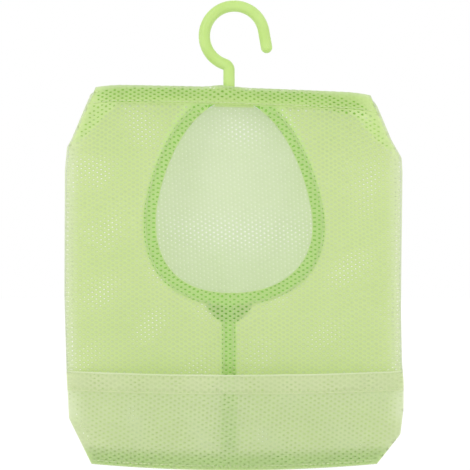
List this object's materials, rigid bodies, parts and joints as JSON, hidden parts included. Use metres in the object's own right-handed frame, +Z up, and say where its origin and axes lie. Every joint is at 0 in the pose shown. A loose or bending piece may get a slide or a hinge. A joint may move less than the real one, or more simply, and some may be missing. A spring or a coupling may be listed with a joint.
{
  "type": "hanging mesh storage bag",
  "caption": "Flat sewn net bag with sloped corners, an egg-shaped hand opening and a front pocket, hung from a swivelling plastic rail hook on a flat bar in its top sleeve.",
  "frame": {"origin": "the seat inside the hook's crown, where the hook bears on a rail", "axes": "+Z up along the hook's stem, -Y out of the front with the hand opening and the pocket, +X to the right as the front is looked at"},
  "size_m": [0.257, 0.065, 0.3585],
  "materials": {
    "green_plastic": "smooth moulded polypropylene, pale lime green",
    "net": "open hexagonal polyester net, pale lime green",
    "hem_tape": "closed woven tape behind the net, lime green",
    "thread": "sewing thread, lime green"
  },
  "bodies": {
    "hook": {"hook": "green_plastic"},
    "bag": {"hanger_bar": "green_plastic", "bar_sleeve": "net", "back_panel": "net", "bottom_panel": "net", "opening_patch": "hem_tape", "centre_seam_strip": "hem_tape", "bottom_seam_strip": "hem_tape", "pocket_panel": "net", "pocket_hem": "net", "front_left_panel": "net", "left_opening_hem": "hem_tape", "left_side_panel": "net", "left_hem_stitching": "thread", "centre_left_stitching": "thread", "front_right_panel": "net", "right_opening_hem": "hem_tape", "right_side_panel": "net", "right_hem_stitching": "thread", "centre_right_stitching": "thread", "sleeve_front_stitching": "thread", "sleeve_back_stitching": "thread", "pocket_hem_stitching": "thread", "bottom_stitching": "thread"}
  },
  "joints": [
    {"name": "hook_swivel", "type": "hinge", "parent": "hook", "child": "bag", "pos_m": [-0.004, 0, -0.0645], "axis": [0, 0, 1], "continuous": true}
  ]
}
